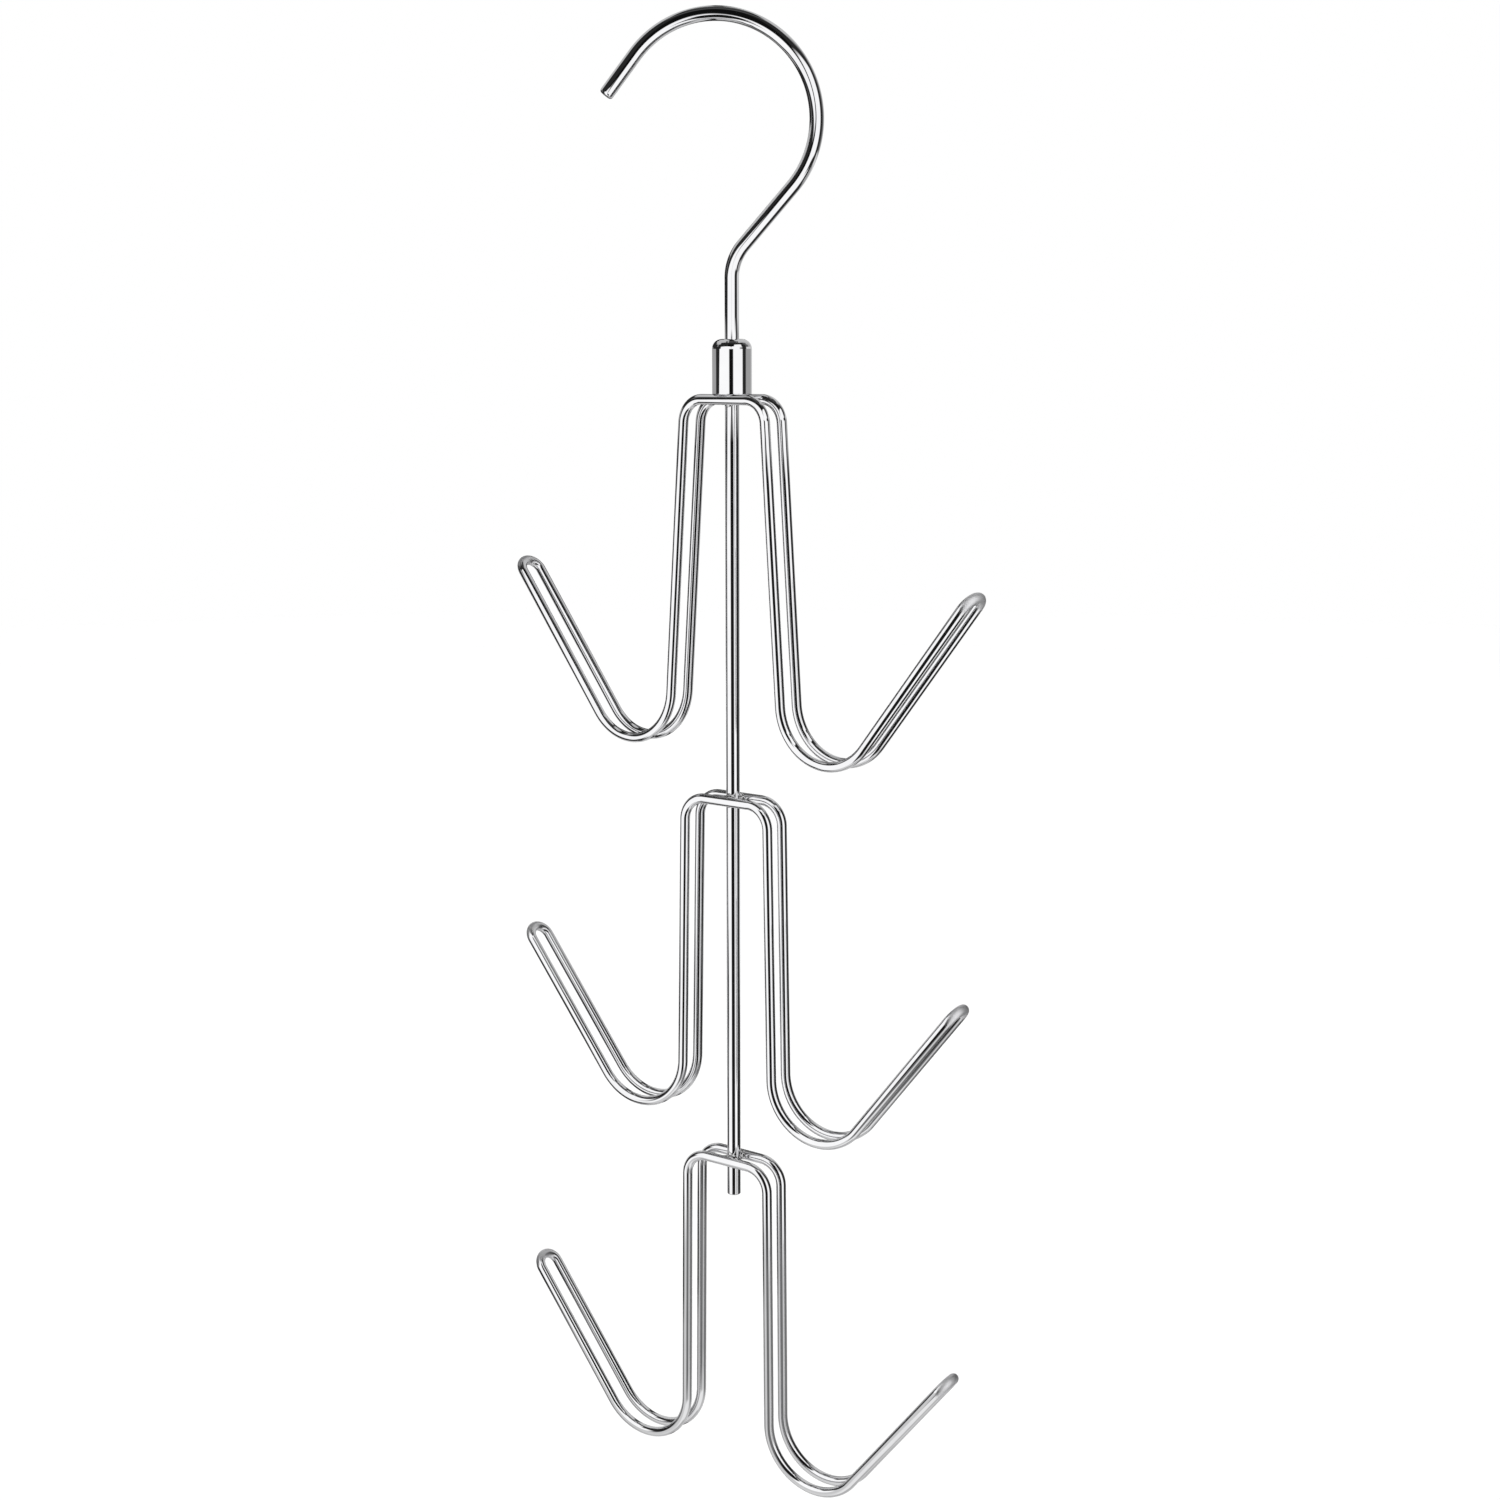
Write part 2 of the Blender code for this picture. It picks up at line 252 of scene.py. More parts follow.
def skinned(
    rings: Array,
    grain: Array,
    closed: bool = False,
    start: Array | None = None,
    end: Array | None = None,
) -> Skin:
    """Cover rings of points with faces.

    Vertex (i, j) is joined to (i, j + 1), (i + 1, j + 1) and (i + 1, j), round every
    ring, and a closed surface joins its last ring to its first. Where a pole is given,
    a fan of triangles joins the nearest ring to it.

    Args:
        rings: points as (ring, place on the ring, 3).
        grain: the same for the grain.
        closed: whether the last ring meets the first.
        start: pole before the first ring.
        end: pole after the last ring.

    Returns:
        The covered surface.
    """
    count, sides = rings.shape[:2]
    first = np.arange(sides)
    second = (first + 1) % sides
    row = np.arange(count if closed else count - 1)[:, None] * sides
    next_row = (row + sides) % (count * sides)
    corners = (row + first, row + second, next_row + second, next_row + first)
    faces = np.stack(np.broadcast_arrays(*corners), axis=-1).reshape(-1, 4).tolist()
    vertices, marks = rings.reshape(-1, 3), grain.reshape(-1, 3)
    last = (count - 1) * sides
    for pole, ring, fan in ((start, 0, (second, first)), (end, -1, (last + first, last + second))):
        if pole is not None:
            faces += np.stack([np.full(sides, len(vertices)), *fan], axis=-1).tolist()
            vertices = np.concatenate([vertices, [pole]])
            marks = np.concatenate([marks, [grain[ring].mean(axis=0)]])
    return Skin(vertices, faces, marks)


def tube(route: Route, sides: int, closed: bool) -> Skin:
    """Carry a round profile along a route.

    A point is the route's point plus the radius times the cosine of an angle along
    the side direction, plus the radius times its sine along the third direction. Its
    grain is the same place on the wire as it was before bending: the cosine, the
    sine, and the distance along the wire.

    Args:
        route: the centre line.
        sides: points round the wire.
        closed: whether the wire closes on itself.

    Returns:
        The wire's surface.
    """
    cosine, sine = np.cos(full_turn(sides)), np.sin(full_turn(sides))
    third = np.cross(route.along, route.across)
    ray = cosine[:, None] * route.across[:, None] + sine[:, None] * third[:, None]
    rings = route.points[:, None] + route.radius[:, None, None] * ray
    length = np.broadcast_to(route.lengths()[:, None], rings.shape[:2])
    radius = route.radius[:, None]
    grain = np.stack([radius * cosine, radius * sine, length], axis=-1)
    poles = (None, None) if closed else (route.points[0], route.points[-1])
    return skinned(rings, grain, closed, *poles)


def swept(profile: Array, steps: int) -> Array:
    """Sweep rows of (radius, height) round the swivel axis, as one ring each.

    A point is (radius times cosine, radius times sine, height).

    Args:
        profile: rows of (radius, height).
        steps: points round the axis.

    Returns:
        The rings.
    """
    radius, height = profile[:, :1], np.repeat(profile[:, 1:], steps, axis=1)
    angle = full_turn(steps)
    return np.stack([radius * np.cos(angle), radius * np.sin(angle), height], axis=-1)


def turned(profile: Array, steps: int, closed: bool) -> Skin:
    """Turn a piece from its profile.

    The profile runs so that its outer wall goes upwards. An open profile starts and
    ends on the axis, where the surface has a pole.

    Args:
        profile: rows of (radius, height).
        steps: points round the axis.
        closed: whether the profile closes on itself.

    Returns:
        The turned surface.
    """
    rings = swept(profile if closed else profile[1:-1], steps)
    ends = [np.array([0.0, 0.0, height]) for height in (profile[0, 1], profile[-1, 1])]
    return skinned(rings, rings, closed, *((None, None) if closed else ends))


def rounded_profile(corners: Sequence[Triple], closed: bool) -> Array:
    """Round the corners of a turned profile.

    Each corner is (radius, height, rounding). A rounded corner becomes seven points
    on the arc that touches both of its sides; one without rounding stays sharp.

    Args:
        corners: the corners in order.
        closed: whether the last corner is joined to the first.

    Returns:
        Rows of (radius, height).
    """
    places = [np.array(corner[:2]) for corner in corners]
    rows: list[Array] = []
    for index, (*_, rounding) in enumerate(corners):
        inner = closed or 0 < index < len(corners) - 1
        if not inner or rounding == 0.0:
            rows.append(places[index][None])
            continue
        nearby = [places[index - 1], places[index], places[(index + 1) % len(places)]]
        points, _ = rounded_outline(nearby, [rounding], math.inf, CORNER_STEP)
        rows.append(points[1:-1])
    return eased(np.concatenate(rows), closed)


def eased(profile: Array, closed: bool, ease: float = 0.00008, spacing: float = 0.004) -> Array:
    """Add points on the straight runs of a profile, so that its walls shade flat.

    A run of more than four ease lengths gets a point one ease length from either end,
    and more in between at an even spacing, each the start plus a share of the way.

    Args:
        profile: rows of (radius, height).
        closed: whether the last row is joined to the first.
        ease: distance of the outer points from the run's ends.
        spacing: largest distance between the points in between.

    Returns:
        The longer profile.
    """
    ends = np.concatenate([profile[1:], profile[:1]]) if closed else profile[1:]
    rows = []
    for start, end in zip(profile, ends):
        reach = float(np.linalg.norm(end - start))
        rows.append(start[None])
        if reach > 4 * ease:
            count = math.ceil(reach / spacing) + 1
            share = np.linspace(ease / reach, 1.0 - ease / reach, count)[:, None]
            rows.append(start + (end - start) * share)
    return np.concatenate(rows if closed else [*rows, profile[-1:]])


def put_piece(name: str, skin: Skin, sharp_from: float, material: Material) -> bpy.types.Object:
    """Make a mesh object at the origin from a surface.

    Args:
        name: the piece's name.
        skin: its surface.
        sharp_from: angle from which an edge is sharp, in radians.
        material: its finish.

    Returns:
        The object, linked to the scene.
    """
    mesh = bpy.data.meshes.new(name)
    mesh.from_pydata(skin.vertices.tolist(), [], skin.faces)
    marks = mesh.attributes.new(GRAIN, "FLOAT_VECTOR", "POINT")
    marks.data.foreach_set("vector", skin.grain.astype(np.float32).ravel())
    mesh.validate()
    mesh.update()
    mesh.shade_smooth()
    mesh.set_sharp_from_angle(angle=sharp_from)
    mesh.materials.append(material)
    piece = bpy.data.objects.new(name, mesh)
    bpy.context.scene.collection.objects.link(piece)
    return piece


# ---- Finishes ----


@dataclass(frozen=True)
class Noise:
    """A noise: waves in a metre, detail, and how much of its third direction counts."""

    scale: float
    detail: float
    third: float = 1.0


# What a noise's value mostly spans, and how rough its finer waves are
NOISE_SPAN = (0.3, 0.7)
NOISE_ROUGHNESS = 0.55


class Sheet:
    """A node tree that is filled in one node at a time."""

    def __init__(self, tree: bpy.types.NodeTree) -> None:
        """Start an empty tree."""
        self.tree = tree
        tree.nodes.clear()

    def add(self, kind: str, settings: dict | None = None, **inputs: object) -> bpy.types.Node:
        """Add a node.

        Args:
            kind: the node's type.
            settings: its properties.
            inputs: values or sockets, by the name of the input; an underscore stands
                for a space, and in_0, in_1 name inputs by number.

        Returns:
            The node.
        """
        node = self.tree.nodes.new(kind)
        for key, value in (settings or {}).items():
            setattr(node, key, value)
        for key, value in inputs.items():
            socket = node.inputs[int(key[3:]) if key.startswith("in_") else key.replace("_", " ")]
            if isinstance(value, Socket):
                self.tree.links.new(value, socket)
            else:
                socket.default_value = value
        return node

    def math(self, operation: str, *values: object, kind: str = "ShaderNodeMath") -> Socket:
        """Return the number that a Math node gives."""
        inputs = {f"in_{index}": value for index, value in enumerate(values)}
        return self.add(kind, {"operation": operation}, **inputs).outputs["Value"]

    def length(self, vector: Socket) -> Socket:
        """Return a vector's length."""
        return self.math("LENGTH", vector, kind="ShaderNodeVectorMath")

    def reach(self, vector: Socket, direction: Vector) -> Socket:
        """Return how far a vector reaches in a direction."""
        return self.math("DOT_PRODUCT", vector, direction, kind="ShaderNodeVectorMath")

    def place(self) -> Socket:
        """Return the place in the object's own coordinates."""
        return self.add("ShaderNodeTexCoord").outputs["Object"]

    def scaled(self, vector: Socket, third: float) -> Socket:
        """Return a vector whose third part is scaled."""
        return self.add("ShaderNodeMapping", Vector=vector, Scale=(1.0, 1.0, third)).outputs[0]

    def noise(self, place: Socket, noise: Noise) -> Socket:
        """Return a noise's value at a place."""
        place = place if noise.third == 1.0 else self.scaled(place, noise.third)
        look = {"Scale": noise.scale, "Detail": noise.detail, "Roughness": NOISE_ROUGHNESS}
        return self.add("ShaderNodeTexNoise", Vector=place, **look).outputs["Fac"]

    def ranged(self, value: Signal, source: Span, target: Span = (0.0, 1.0)) -> Socket:
        """Return a value carried from one range to another, held at its ends."""
        ends = {f"in_{index}": end for index, end in enumerate((*source, *target), start=1)}
        return self.add("ShaderNodeMapRange", {"clamp": True}, in_0=value, **ends).outputs[0]

    def mixed(self, low: Signal, high: Signal, share: Signal) -> Socket:
        """Return a value between two others: low plus the share of their difference."""
        return self.math("MULTIPLY_ADD", self.math("SUBTRACT", high, low), share, low)

    def inside(self, value: Signal, low: float, high: float, soft: float) -> Socket:
        """Return one between two limits and nought outside them.

        Args:
            value: the value that is tested.
            low: the lower limit.
            high: the upper limit.
            soft: half the width over which each limit fades.

        Returns:
            The result, from nought to one.
        """
        rise = self.ranged(value, (low - soft, low + soft))
        fall = self.ranged(value, (high - soft, high + soft), (1.0, 0.0))
        return self.math("MULTIPLY", rise, fall)

    def blended(self, share: Socket, low: Triple, high: Triple) -> Socket:
        """Return a colour between two others."""
        ends = {"in_6": (*low, 1.0), "in_7": (*high, 1.0)}
        return self.add("ShaderNodeMix", {"data_type": "RGBA"}, in_0=share, **ends).outputs[2]

    def bump(self, height: Socket, distance: float, **more: object) -> Socket:
        """Return the normal of a surface that a height raises by up to a distance."""
        inputs = {"Strength": 1.0, "Height": height, "Distance": distance, **more}
        return self.add("ShaderNodeBump", **inputs).outputs[0]

    def metal(self, tone: Socket, roughness: Socket, normal: Socket) -> None:
        """Finish the sheet as bare metal."""
        look = {"Base_Color": tone, "Metallic": 1.0, "Roughness": roughness, "Normal": normal}
        self.show(self.add("ShaderNodeBsdfPrincipled", **look).outputs[0])

    def show(self, surface: Socket, kind: str = "ShaderNodeOutputMaterial") -> None:
        """Finish the sheet with what its surface shows."""
        self.add(kind, Surface=surface)


def new_finish(name: str) -> tuple[Material, Sheet]:
    """Start a material.

    Args:
        name: its name.

    Returns:
        The material and its empty sheet.
    """
    material = bpy.data.materials.new(name)
    material.use_nodes = True
    return material, Sheet(material.node_tree)


class Follows(Enum):
    """What a finish's pattern follows."""

    WIRE = "the wire, as it lay before it was bent"
    PLACE = "the place of the piece in the frame"


@dataclass(frozen=True)
class BrightChrome:
    """Bright plating on drawn wire or turned steel: clear grey, faintly uneven.

    The tone drifts between two greys, the roughness between two values, and the bump
    adds a slow waviness and fine lines that run along the wire. Further from the rod's
    axis than worn_from, where it is given, the plating is rubbed dull by handles.
    """

    name: str
    tone: Triple = (0.80, 0.80, 0.81)
    deep_tone: Triple = (0.74, 0.74, 0.755)
    roughness: Span = (0.015, 0.04)
    drift: Noise = Noise(90.0, 3.0)
    haze: Noise = Noise(420.0, 4.0)
    wave: Noise = Noise(260.0, 1.0, 0.12)
    wave_height: float = 0.0000015
    lines: Noise = Noise(9000.0, 2.0, 0.02)
    line_height: float = 0.00000012
    worn_from: float | None = None
    worn_roughness: float = 0.58
    wear_width: float = 0.0020
    follows: Follows = Follows.WIRE

    def material(self) -> Material:
        """Mix the finish.

        Returns:
            The finish as a material.
        """
        material, sheet = new_finish(self.name)
        if self.follows is Follows.WIRE:
            place = sheet.add("ShaderNodeAttribute", {"attribute_name": GRAIN}).outputs["Vector"]
        else:
            place = sheet.place()
        share = sheet.ranged(sheet.noise(place, self.drift), NOISE_SPAN)
        roughness = sheet.ranged(sheet.noise(place, self.haze), NOISE_SPAN, self.roughness)
        if self.worn_from is not None:
            aside = sheet.length(sheet.scaled(sheet.place(), 0.0))
            worn = sheet.ranged(aside, (self.worn_from, self.worn_from + self.wear_width))
            roughness = sheet.mixed(roughness, self.worn_roughness, worn)
        waves = sheet.bump(sheet.noise(place, self.wave), self.wave_height)
        normal = sheet.bump(sheet.noise(place, self.lines), self.line_height, Normal=waves)
        sheet.metal(sheet.blended(share, self.deep_tone, self.tone), roughness, normal)
        return material


@dataclass(frozen=True)
class PlatedWeld:
    """Plating over a weld: a paler, duller grey with small ripples and pits."""

    name: str = "plated_weld"
    tone: Triple = (0.72, 0.72, 0.73)
    burnt_tone: Triple = (0.58, 0.575, 0.57)
    stain: Noise = Noise(700.0, 4.0)
    stain_span: Span = (0.35, 0.7)
    roughness: Span = (0.14, 0.30)
    ripple: Noise = Noise(1400.0, 3.0)
    pit_scale: float = 1500.0
    pit_share: float = 0.5
    height: float = 0.00006

    def material(self) -> Material:
        """Mix the finish.

        Returns:
            The finish as a material.
        """
        material, sheet = new_finish(self.name)
        place = sheet.place()
        stained = sheet.ranged(sheet.noise(place, self.stain), self.stain_span)
        ripple = sheet.noise(place, self.ripple)
        kind = {"feature": "SMOOTH_F1"}
        pits = sheet.add("ShaderNodeTexVoronoi", kind, Vector=place, Scale=self.pit_scale)
        height = sheet.math("MULTIPLY_ADD", pits.outputs["Distance"], self.pit_share, ripple)
        sheet.metal(
            sheet.blended(stained, self.tone, self.burnt_tone),
            sheet.ranged(ripple, NOISE_SPAN, self.roughness),
            sheet.bump(height, self.height),
        )
        return material


@dataclass(frozen=True)
class TurnedSteel:
    """Plain turned steel: grey, with rings left by the tool and a thin film of oil."""

    name: str
    tone: Triple = (0.56, 0.56, 0.57)
    oiled_tone: Triple = (0.44, 0.43, 0.41)
    film: Noise = Noise(500.0, 4.0)
    film_span: Span = (0.4, 0.7)
    roughness: Span = (0.24, 0.40)
    ring_scale: float = 2400.0
    ring_waver: float = 0.6
    ring_detail: float = 2.0
    ring_height: float = 0.00002
    ring_depth: float = 0.5

    def material(self) -> Material:
        """Mix the finish.

        Returns:
            The finish as a material.
        """
        material, sheet = new_finish(self.name)
        place = sheet.place()
        kind = {"wave_type": "RINGS", "rings_direction": "Z"}
        look = {"Scale": self.ring_scale, "Distortion": self.ring_waver, "Detail": self.ring_detail}
        rings = sheet.add("ShaderNodeTexWave", kind, Vector=place, **look)
        film = sheet.noise(place, self.film)
        sheet.metal(
            sheet.blended(sheet.ranged(film, self.film_span), self.tone, self.oiled_tone),
            sheet.ranged(film, NOISE_SPAN, self.roughness),
            sheet.bump(rings.outputs["Fac"], self.ring_height, Strength=self.ring_depth),
        )
        return material


def hand_over(piece: bpy.types.Object, body: str, slot: str, *nodes: str) -> None:
    """Give a finished piece to the frame.

    Args:
        piece: the piece.
        body: the body that it rides on.
        slot: the record's material slot; not used.
        nodes: the CAD nodes that it stands for.
    """
    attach(piece, body)
    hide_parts(*nodes)
    LOG.info("%s: %d faces, rides on %s", piece.name, len(piece.data.polygons), body)


# ---- Sub-assemblies ----


@dataclass
class Swivel:
    """The heights of the swivel above the top crossbars, shared by what meets there."""

    loop_wire_radius: float = LOOP_WIRE_RADIUS
    gap: float = 0.0003
    ferrule_height: float = 0.0148
    dome_thickness: float = 0.0020
    washer_thickness: float = 0.0008

    @property
    def ferrule_foot(self) -> float:
        """Return the height of the ferrule's rim."""
        return self.loop_wire_radius + self.gap

    @property
    def ferrule_top(self) -> float:
        """Return the height of the dome's top."""
        return self.ferrule_foot + self.ferrule_height

    @property
    def dome_underside(self) -> float:
        """Return the height of the dome's inner face."""
        return self.ferrule_top - self.dome_thickness

    @property
    def washer_foot(self) -> float:
        """Return the height of the washer's lower face."""
        return self.dome_underside - self.gap - self.washer_thickness


@dataclass
class SwivelHook:
    """The hook over the rail: one wire from its upset head to its rounded free end."""

    swivel: Swivel
    wire_radius: float = 0.0020
    stem_length: float = 0.01665
    stem_bend_radius: float = 0.0133
    stem_bend_angle: float = math.radians(40.8)
    slant_length: float = 0.0205
    rail_bend_radius: float = 0.0276
    rail_bend_angle: float = math.radians(183.2)
    tip_length: float = 0.0135
    tip_edge: float = 0.0009
    tip_steps: int = 8
    turn: float = math.radians(35.0)
    head_radius: float = 0.0037
    head_thickness: float = 0.0015
    head_shoulder: float = 0.0002
    spacing: float = 0.002
    sides: int = 44
    finish: BrightChrome = BrightChrome("hook_chrome")

    def bend_centres(self) -> tuple[Array, Array]:
        """Find the centres of the stem's bend and of the rail bend.

        Returns:
            The two centres as (sideways, height).
        """
        sine, cosine = math.sin(self.stem_bend_angle), math.cos(self.stem_bend_angle)
        stem_bend = np.array([self.stem_bend_radius, self.swivel.ferrule_top + self.stem_length])
        outward, along = np.array([-cosine, sine]), np.array([sine, cosine])
        reach = (self.stem_bend_radius + self.rail_bend_radius) * outward
        return stem_bend, stem_bend + reach + self.slant_length * along

    def seat_height(self) -> float:
        """Find how high the swivel axis meets the hook's inner face.

        Returns:
            The height above the top crossbars.
        """
        rail_bend = self.bend_centres()[1]
        inner = self.rail_bend_radius - self.wire_radius
        return float(rail_bend[1] + math.sqrt(inner**2 - rail_bend[0] ** 2))

    def route(self) -> Route:
        """Lay out the hook's centre line.

        In its own plane it is the head, the stem, a bend, the slant, the rail bend
        and the straight free end, and that plane is then turned about the axis. Near
        the free end the radius shrinks as one less the cosine of a quarter turn,
        which rounds the cut edge.

        Returns:
            The route.
        """
        edge = self.head_shoulder
        head_top = self.swivel.washer_foot - self.swivel.gap - edge
        head_foot = head_top - self.head_thickness
        head_heights = np.array([head_foot, head_foot + edge, head_top, head_top + edge])
        head_points = np.stack([np.zeros(len(head_heights)), head_heights], axis=-1)
        head_radii = [self.head_radius - edge, self.head_radius, self.head_radius, self.wire_radius]

        stem_bend, rail_bend = self.bend_centres()
        slope, stem_top = self.stem_bend_angle, np.array([0.0, stem_bend[1]])
        stem = straight(np.array([0.0, head_top + 2 * edge]), stem_top, self.spacing)
        lower = bend(stem_bend, self.stem_bend_radius, math.pi, math.pi - slope)
        upper = bend(rail_bend, self.rail_bend_radius, -slope, self.rail_bend_angle - slope)
        slant = straight(lower[0][-1], upper[0][0], self.spacing)
        onward = upper[1][-1]
        edge_start = upper[0][-1] + (self.tip_length - self.tip_edge) * onward
        tip = straight(upper[0][-1], edge_start, self.spacing)
        points, along = chained([stem, lower, slant, upper, tip])

        worn = np.linspace(0.0, math.pi / 2, self.tip_steps + 1)[1:]
        edge_points = edge_start + self.tip_edge * np.sin(worn)[:, None] * onward
        edge_radii = self.wire_radius - self.tip_edge * (1.0 - np.cos(worn))
        starts = np.tile([0.0, 1.0], (len(head_heights), 1))
        ends = np.tile(onward, (len(worn), 1))
        flat = np.concatenate([head_points, points, edge_points])
        route = Route(
            stood_up(flat),
            stood_up(np.concatenate([starts, along, ends])),
            np.tile([0.0, -1.0, 0.0], (len(flat), 1)),
            np.concatenate([head_radii, np.full(len(points), self.wire_radius), edge_radii]),
        )
        return route.placed(self.turn, -self.seat_height())

    def build(self) -> None:
        """Bend the hook and plate it."""
        skin = tube(self.route(), self.sides, False)
        piece = put_piece("hook_wire", skin, WIRE_EDGE, self.finish.material())
        hand_over(piece, "hook", "hook_chrome", "swivel_hook")


@dataclass
class SwivelFerrule:
    """The domed cup that turns on the stem, with the washer and the plug inside it."""

    swivel: Swivel
    level: float
    radius: float = 0.00555
    wall: float = 0.0010
    shoulder: float = 0.0027
    hole_radius: float = 0.0023
    seat_depth: float = 0.0004
    outer_edge: float = 0.0002
    inner_edge: float = 0.0001
    inner_corner: float = 0.0003
    steps: int = 96
    finish: BrightChrome = BrightChrome("ferrule_chrome", follows=Follows.PLACE)

    def profile(self) -> Array:
        """Lay out the cup's profile: up the outer wall, over the dome, down inside.

        Returns:
            Rows of (radius, height), closed on themselves.
        """
        foot = self.swivel.ferrule_foot - self.seat_depth
        top, under = self.swivel.ferrule_top, self.swivel.dome_underside
        inner = self.radius - self.wall
        corners = [
            (self.radius, foot, self.outer_edge),
            (self.radius, top, self.shoulder),
            (self.hole_radius, top, self.outer_edge),
            (self.hole_radius, under, self.inner_edge),
            (inner, under, self.inner_corner),
            (inner, foot, self.inner_edge),
        ]
        return rounded_profile(corners, True) + (0.0, self.level)

    def build(self) -> None:
        """Turn the cup, plate it, and finish the two hidden steel pieces."""
        skin = turned(self.profile(), self.steps, True)
        piece = put_piece("ferrule_cup", skin, CUP_EDGE, self.finish.material())
        hand_over(piece, "hanger", "ferrule_chrome", "swivel_ferrule")
        for node in ("swivel_washer", "ferrule_plug"):
            dress_node(node, TurnedSteel(node + "_steel"))


def dress_node(node: str, finish: TurnedSteel) -> None:
    """Give a CAD node that stays in view a finish in place of its plain one.

    Args:
        node: the node's name.
        finish: its finish.
    """
    for piece in bpy.data.objects:
        if piece.name == node or piece.name.startswith(node + "."):
            for slot in piece.material_slots:
                slot.material = finish.material()
            LOG.info("%s: finished where it stands", piece.name)


@dataclass
class CentreRod:
    """The straight rod from the ferrule's plug to below the lowest crossbars."""

    radius: float = ROD_RADIUS
    end_edge: float = 0.0003
    sides: int = 48
    finish: BrightChrome = BrightChrome("rod_chrome", follows=Follows.PLACE)

    def build(self) -> None:
        """Cut the rod to the height of its node, round its ends' edges and plate it."""
        low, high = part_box("centre_rod")
        corners = [
            (0.0, low.z, 0.0),
            (self.radius, low.z, self.end_edge),
            (self.radius, high.z, self.end_edge),
            (0.0, high.z, 0.0),
        ]
        skin = turned(rounded_profile(corners, False), self.sides, False)
        piece = put_piece("rod_wire", skin, WIRE_EDGE, self.finish.material())
        hand_over(piece, "hanger", "rod_chrome", "centre_rod")


class Tier(Enum):
    """The three tiers of double hooks."""

    TOP = ("top", 0.0, math.radians(4.0), math.radians(-4.8))
    MIDDLE = ("middle", 0.1143, math.radians(1.1), 0.0)
    LOWER = ("lower", 0.2238, math.radians(0.6), 0.0)

    def __init__(self, label: str, drop: float, splay: float, turn: float) -> None:
        """Name a tier's values.

        Args:
            label: its name.
            drop: how far its crossbars lie below the top ones.
            splay: the angle by which each leg leans outwards.
            turn: the angle by which it is turned on the rod.
        """
        self.label, self.drop, self.splay, self.turn = label, drop, splay, turn


@dataclass
class TierLoop:
    """One closed wire with a front and a back strand, and an open hook on either side.

    Its plating is worn at the tips, from wear_lead before the end of the straight arm.
    """

    tier: Tier
    level: float
    wire_radius: float = LOOP_WIRE_RADIUS
    strand_offset: float = STRAND_OFFSET
    bar_half_length: float = 0.0144
    bar_corner_radius: float = 0.0069
    leg_drop: float = 0.1272
    hook_bend_radius: float = 0.0162
    arm_length: float = 0.0937
    arm_lean: float = math.radians(37.5)
    wear_lead: float = 0.0002
    spacing: float = 0.004
    tip_step: float = math.radians(4.0)
    sides: int = 32

    @property
    def bend_x(self) -> float:
        """Return how far aside the leg's and the arm's lines meet."""
        return self.bar_half_length + self.leg_drop * math.tan(self.tier.splay)

    @property
    def tip_x(self) -> float:
        """Return how far aside the straight arm ends."""
        return self.bend_x + self.arm_length * math.sin(self.arm_lean)

    def strand(self) -> tuple[Array, Array]:
        """Lay out a strand from its left tip to its right tip.

        Returns:
            The points as (sideways, height), and their directions.
        """
        tip_z = self.arm_length * math.cos(self.arm_lean) - self.leg_drop
        right = [
            np.array([self.bar_half_length, 0.0]),
            np.array([self.bend_x, -self.leg_drop]),
            np.array([self.tip_x, tip_z]),
        ]
        left = [corner * (-1.0, 1.0) for corner in reversed(right)]
        radii = (self.hook_bend_radius, self.bar_corner_radius)
        return rounded_outline(left + right, (*radii, *reversed(radii)), self.spacing)

    def tip(self, side: int) -> Route:
        """Lay out the half circle round which the wire turns at a tip.

        A point is the tip's centre, plus the strand offset times the cosine of an
        angle across, plus the same offset times its sine along the arm.

        Args:
            side: 1 for the right tip, -1 for the left.

        Returns:
            The half circle without its ends, which the strands have.
        """
        points, _ = self.strand()
        end = points[-1] if side > 0 else points[0]
        outward = np.array([side * math.sin(self.arm_lean), 0.0, math.cos(self.arm_lean)])
        across = np.array([0.0, -side, 0.0])
        angle = np.linspace(0.0, math.pi, math.ceil(math.pi / self.tip_step) + 1)[1:-1, None]
        ray = np.cos(angle) * across + np.sin(angle) * outward
        along = np.cos(angle) * outward - np.sin(angle) * across
        places = np.array([end[0], 0.0, end[1]]) + self.strand_offset * ray
        return Route(places, along, -ray, np.full(len(places), self.wire_radius))

    def route(self) -> Route:
        """Lay out the loop's centre line.

        Returns:
            The front strand, the right tip, the back strand and the left tip.
        """
        points, along = self.strand()
        runs = []
        for side in (1, -1):
            run = Route(
                stood_up(points[::side], -side * self.strand_offset),
                stood_up(side * along[::side]),
                np.tile([0.0, float(side), 0.0], (len(points), 1)),
                np.full(len(points), self.wire_radius),
            )
            runs += [run, self.tip(side)]
        return Route.joined(runs).placed(self.tier.turn, self.level - self.tier.drop)

    def build(self) -> None:
        """Bend the loop and plate it."""
        label = self.tier.label
        finish = BrightChrome(label + "_loop_chrome", worn_from=self.tip_x - self.wear_lead)
        skin = tube(self.route(), self.sides, True)
        piece = put_piece(label + "_loop_wire", skin, WIRE_EDGE, finish.material())
        hand_over(piece, "hanger", "loop_chrome", label + "_tier_loop")


class Strand(Enum):
    """The strands of a loop that are welded to the rod."""

    FRONT = ("front", 0.0)
    BACK = ("back", math.pi)

    def __init__(self, label: str, turn: float) -> None:
        """Name a strand's values: its label, and how far its weld is turned round the rod."""
        self.label, self.turn = label, turn


